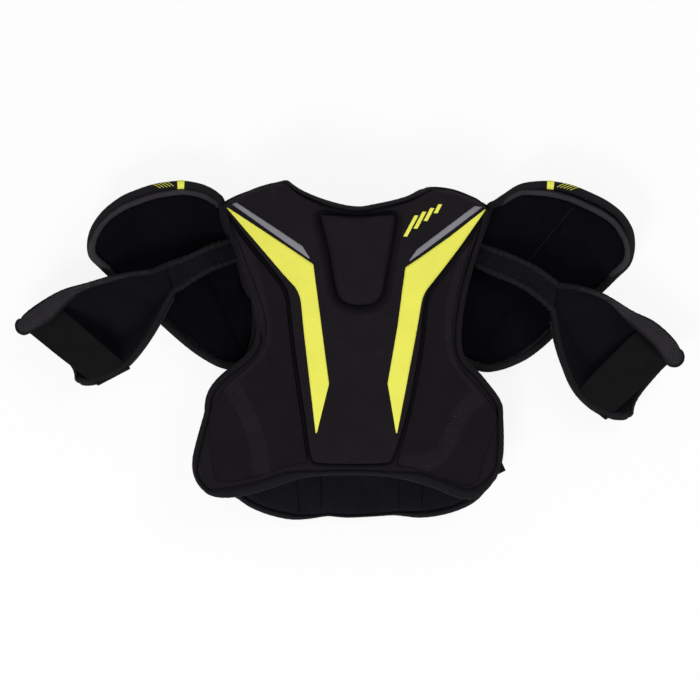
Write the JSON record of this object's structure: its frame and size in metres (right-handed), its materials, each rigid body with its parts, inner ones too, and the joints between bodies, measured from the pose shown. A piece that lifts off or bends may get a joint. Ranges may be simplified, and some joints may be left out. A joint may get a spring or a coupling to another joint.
{
  "type": "hockey shoulder pads",
  "caption": "Padded vest with a chest that opens at the shoulders, bowl shaped shoulder caps and strapped upper arm guards, lying flat",
  "frame": {"origin": "on the surface that the spine pad rests on, under the middle of the object's box", "axes": "+X across the chest, to the wearer's left, +Y to the neck, +Z out of the chest"},
  "size_m": [0.7279, 0.3717, 0.1194],
  "materials": {
    "foam": "knitted polyester over foam",
    "mesh": "perforated spacer mesh",
    "piping": "bound edge of brushed tricot",
    "liner": "brushed lining",
    "shell": "moulded foam with a knitted cover",
    "plate": "moulded polyethylene",
    "elastic": "woven elastic webbing",
    "hook": "hook and loop tape",
    "yellow": "printed film",
    "grey": "printed film"
  },
  "bodies": {
    "back": {"back_panel": "foam", "back_neck_piping": "piping", "back_edge_piping": "piping", "spine_pad": "foam", "spine_plate": "plate"},
    "chest": {"chest_panel": "foam", "chest_neck_piping": "piping", "chest_edge_piping": "piping", "front_yoke": "foam", "sternum_plate": "plate", "sternum_pad": "foam", "left_rib_pad": "mesh", "right_rib_pad": "mesh", "left_lower_pad": "foam", "right_lower_pad": "foam", "left_yellow_strip": "yellow", "right_yellow_strip": "yellow", "left_grey_stripe": "grey", "right_grey_stripe": "grey", "mark_bar_1": "yellow", "mark_bar_2": "yellow", "mark_bar_3": "yellow", "mark_bar_4": "yellow"},
    "left_cap": {"left_cap_shell": "shell", "left_cap_liner": "liner", "left_cap_piping": "piping", "left_cap_tab": "yellow"},
    "left_link": {"left_arm_link": "foam"},
    "left_arm": {"left_arm_pad": "foam", "left_arm_shell": "mesh", "left_arm_piping": "piping", "left_loop_patch": "hook"},
    "left_arm_strap": {"left_arm_strap": "elastic"},
    "left_side_strap": {"left_side_strap": "elastic", "left_side_hook": "hook"},
    "right_cap": {"right_cap_shell": "shell", "right_cap_liner": "liner", "right_cap_piping": "piping", "right_cap_tab": "yellow"},
    "right_link": {"right_arm_link": "foam"},
    "right_arm": {"right_arm_pad": "foam", "right_arm_shell": "mesh", "right_arm_piping": "piping", "right_loop_patch": "hook"},
    "right_arm_strap": {"right_arm_strap": "elastic"},
    "right_side_strap": {"right_side_strap": "elastic", "right_side_hook": "hook"}
  },
  "joints": [
    {"name": "chest_opening", "type": "hinge", "parent": "back", "child": "chest", "pos_m": [0, 0.1805, 0.047], "axis": [-1, 0, 0], "range_deg": [0, 60]},
    {"name": "left_cap_lift", "type": "hinge", "parent": "back", "child": "left_cap", "pos_m": [-0.101, 0.02, 0.026], "axis": [-0.1807, 0.9835, 0], "range_deg": [0, 18]},
    {"name": "right_cap_lift", "type": "hinge", "parent": "back", "child": "right_cap", "pos_m": [0.101, 0.02, 0.026], "axis": [-0.1807, -0.9835, 0], "range_deg": [0, 18]},
    {"name": "left_arm_lift", "type": "hinge", "parent": "left_cap", "child": "left_link", "pos_m": [-0.126, 0.106, 0.0365], "axis": [-0.1959, 0.9806, 0], "range_deg": [0, 22]},
    {"name": "right_arm_lift", "type": "hinge", "parent": "right_cap", "child": "right_link", "pos_m": [0.127, 0.102, 0.0365], "axis": [-0.287, -0.9579, 0], "range_deg": [0, 22]},
    {"name": "left_arm_fold", "type": "hinge", "parent": "left_link", "child": "left_arm", "pos_m": [-0.2, 0.0815, 0.0475], "axis": [-0.19, 0.9818, 0], "range_deg": [0, 20]},
    {"name": "right_arm_fold", "type": "hinge", "parent": "right_link", "child": "right_arm", "pos_m": [0.2065, 0.068, 0.0475], "axis": [-0.5632, -0.8263, 0], "range_deg": [0, 20]},
    {"name": "left_strap_opening", "type": "hinge", "parent": "left_arm", "child": "left_arm_strap", "pos_m": [-0.3002, 0.0613, 0.0445], "axis": [-0.8386, -0.5447, 0], "range_deg": [0, 60]},
    {"name": "right_strap_opening", "type": "hinge", "parent": "right_arm", "child": "right_arm_strap", "pos_m": [0.294, 0.0417, 0.0445], "axis": [-0.7623, 0.6472, 0], "range_deg": [0, 60]},
    {"name": "left_side_strap_swing", "type": "hinge", "parent": "chest", "child": "left_side_strap", "pos_m": [-0.1576, -0.115, 0.0496], "axis": [0, 1, 0], "range_deg": [0, 70]},
    {"name": "right_side_strap_swing", "type": "hinge", "parent": "chest", "child": "right_side_strap", "pos_m": [0.1576, -0.115, 0.0496], "axis": [0, -1, 0], "range_deg": [0, 70]}
  ]
}
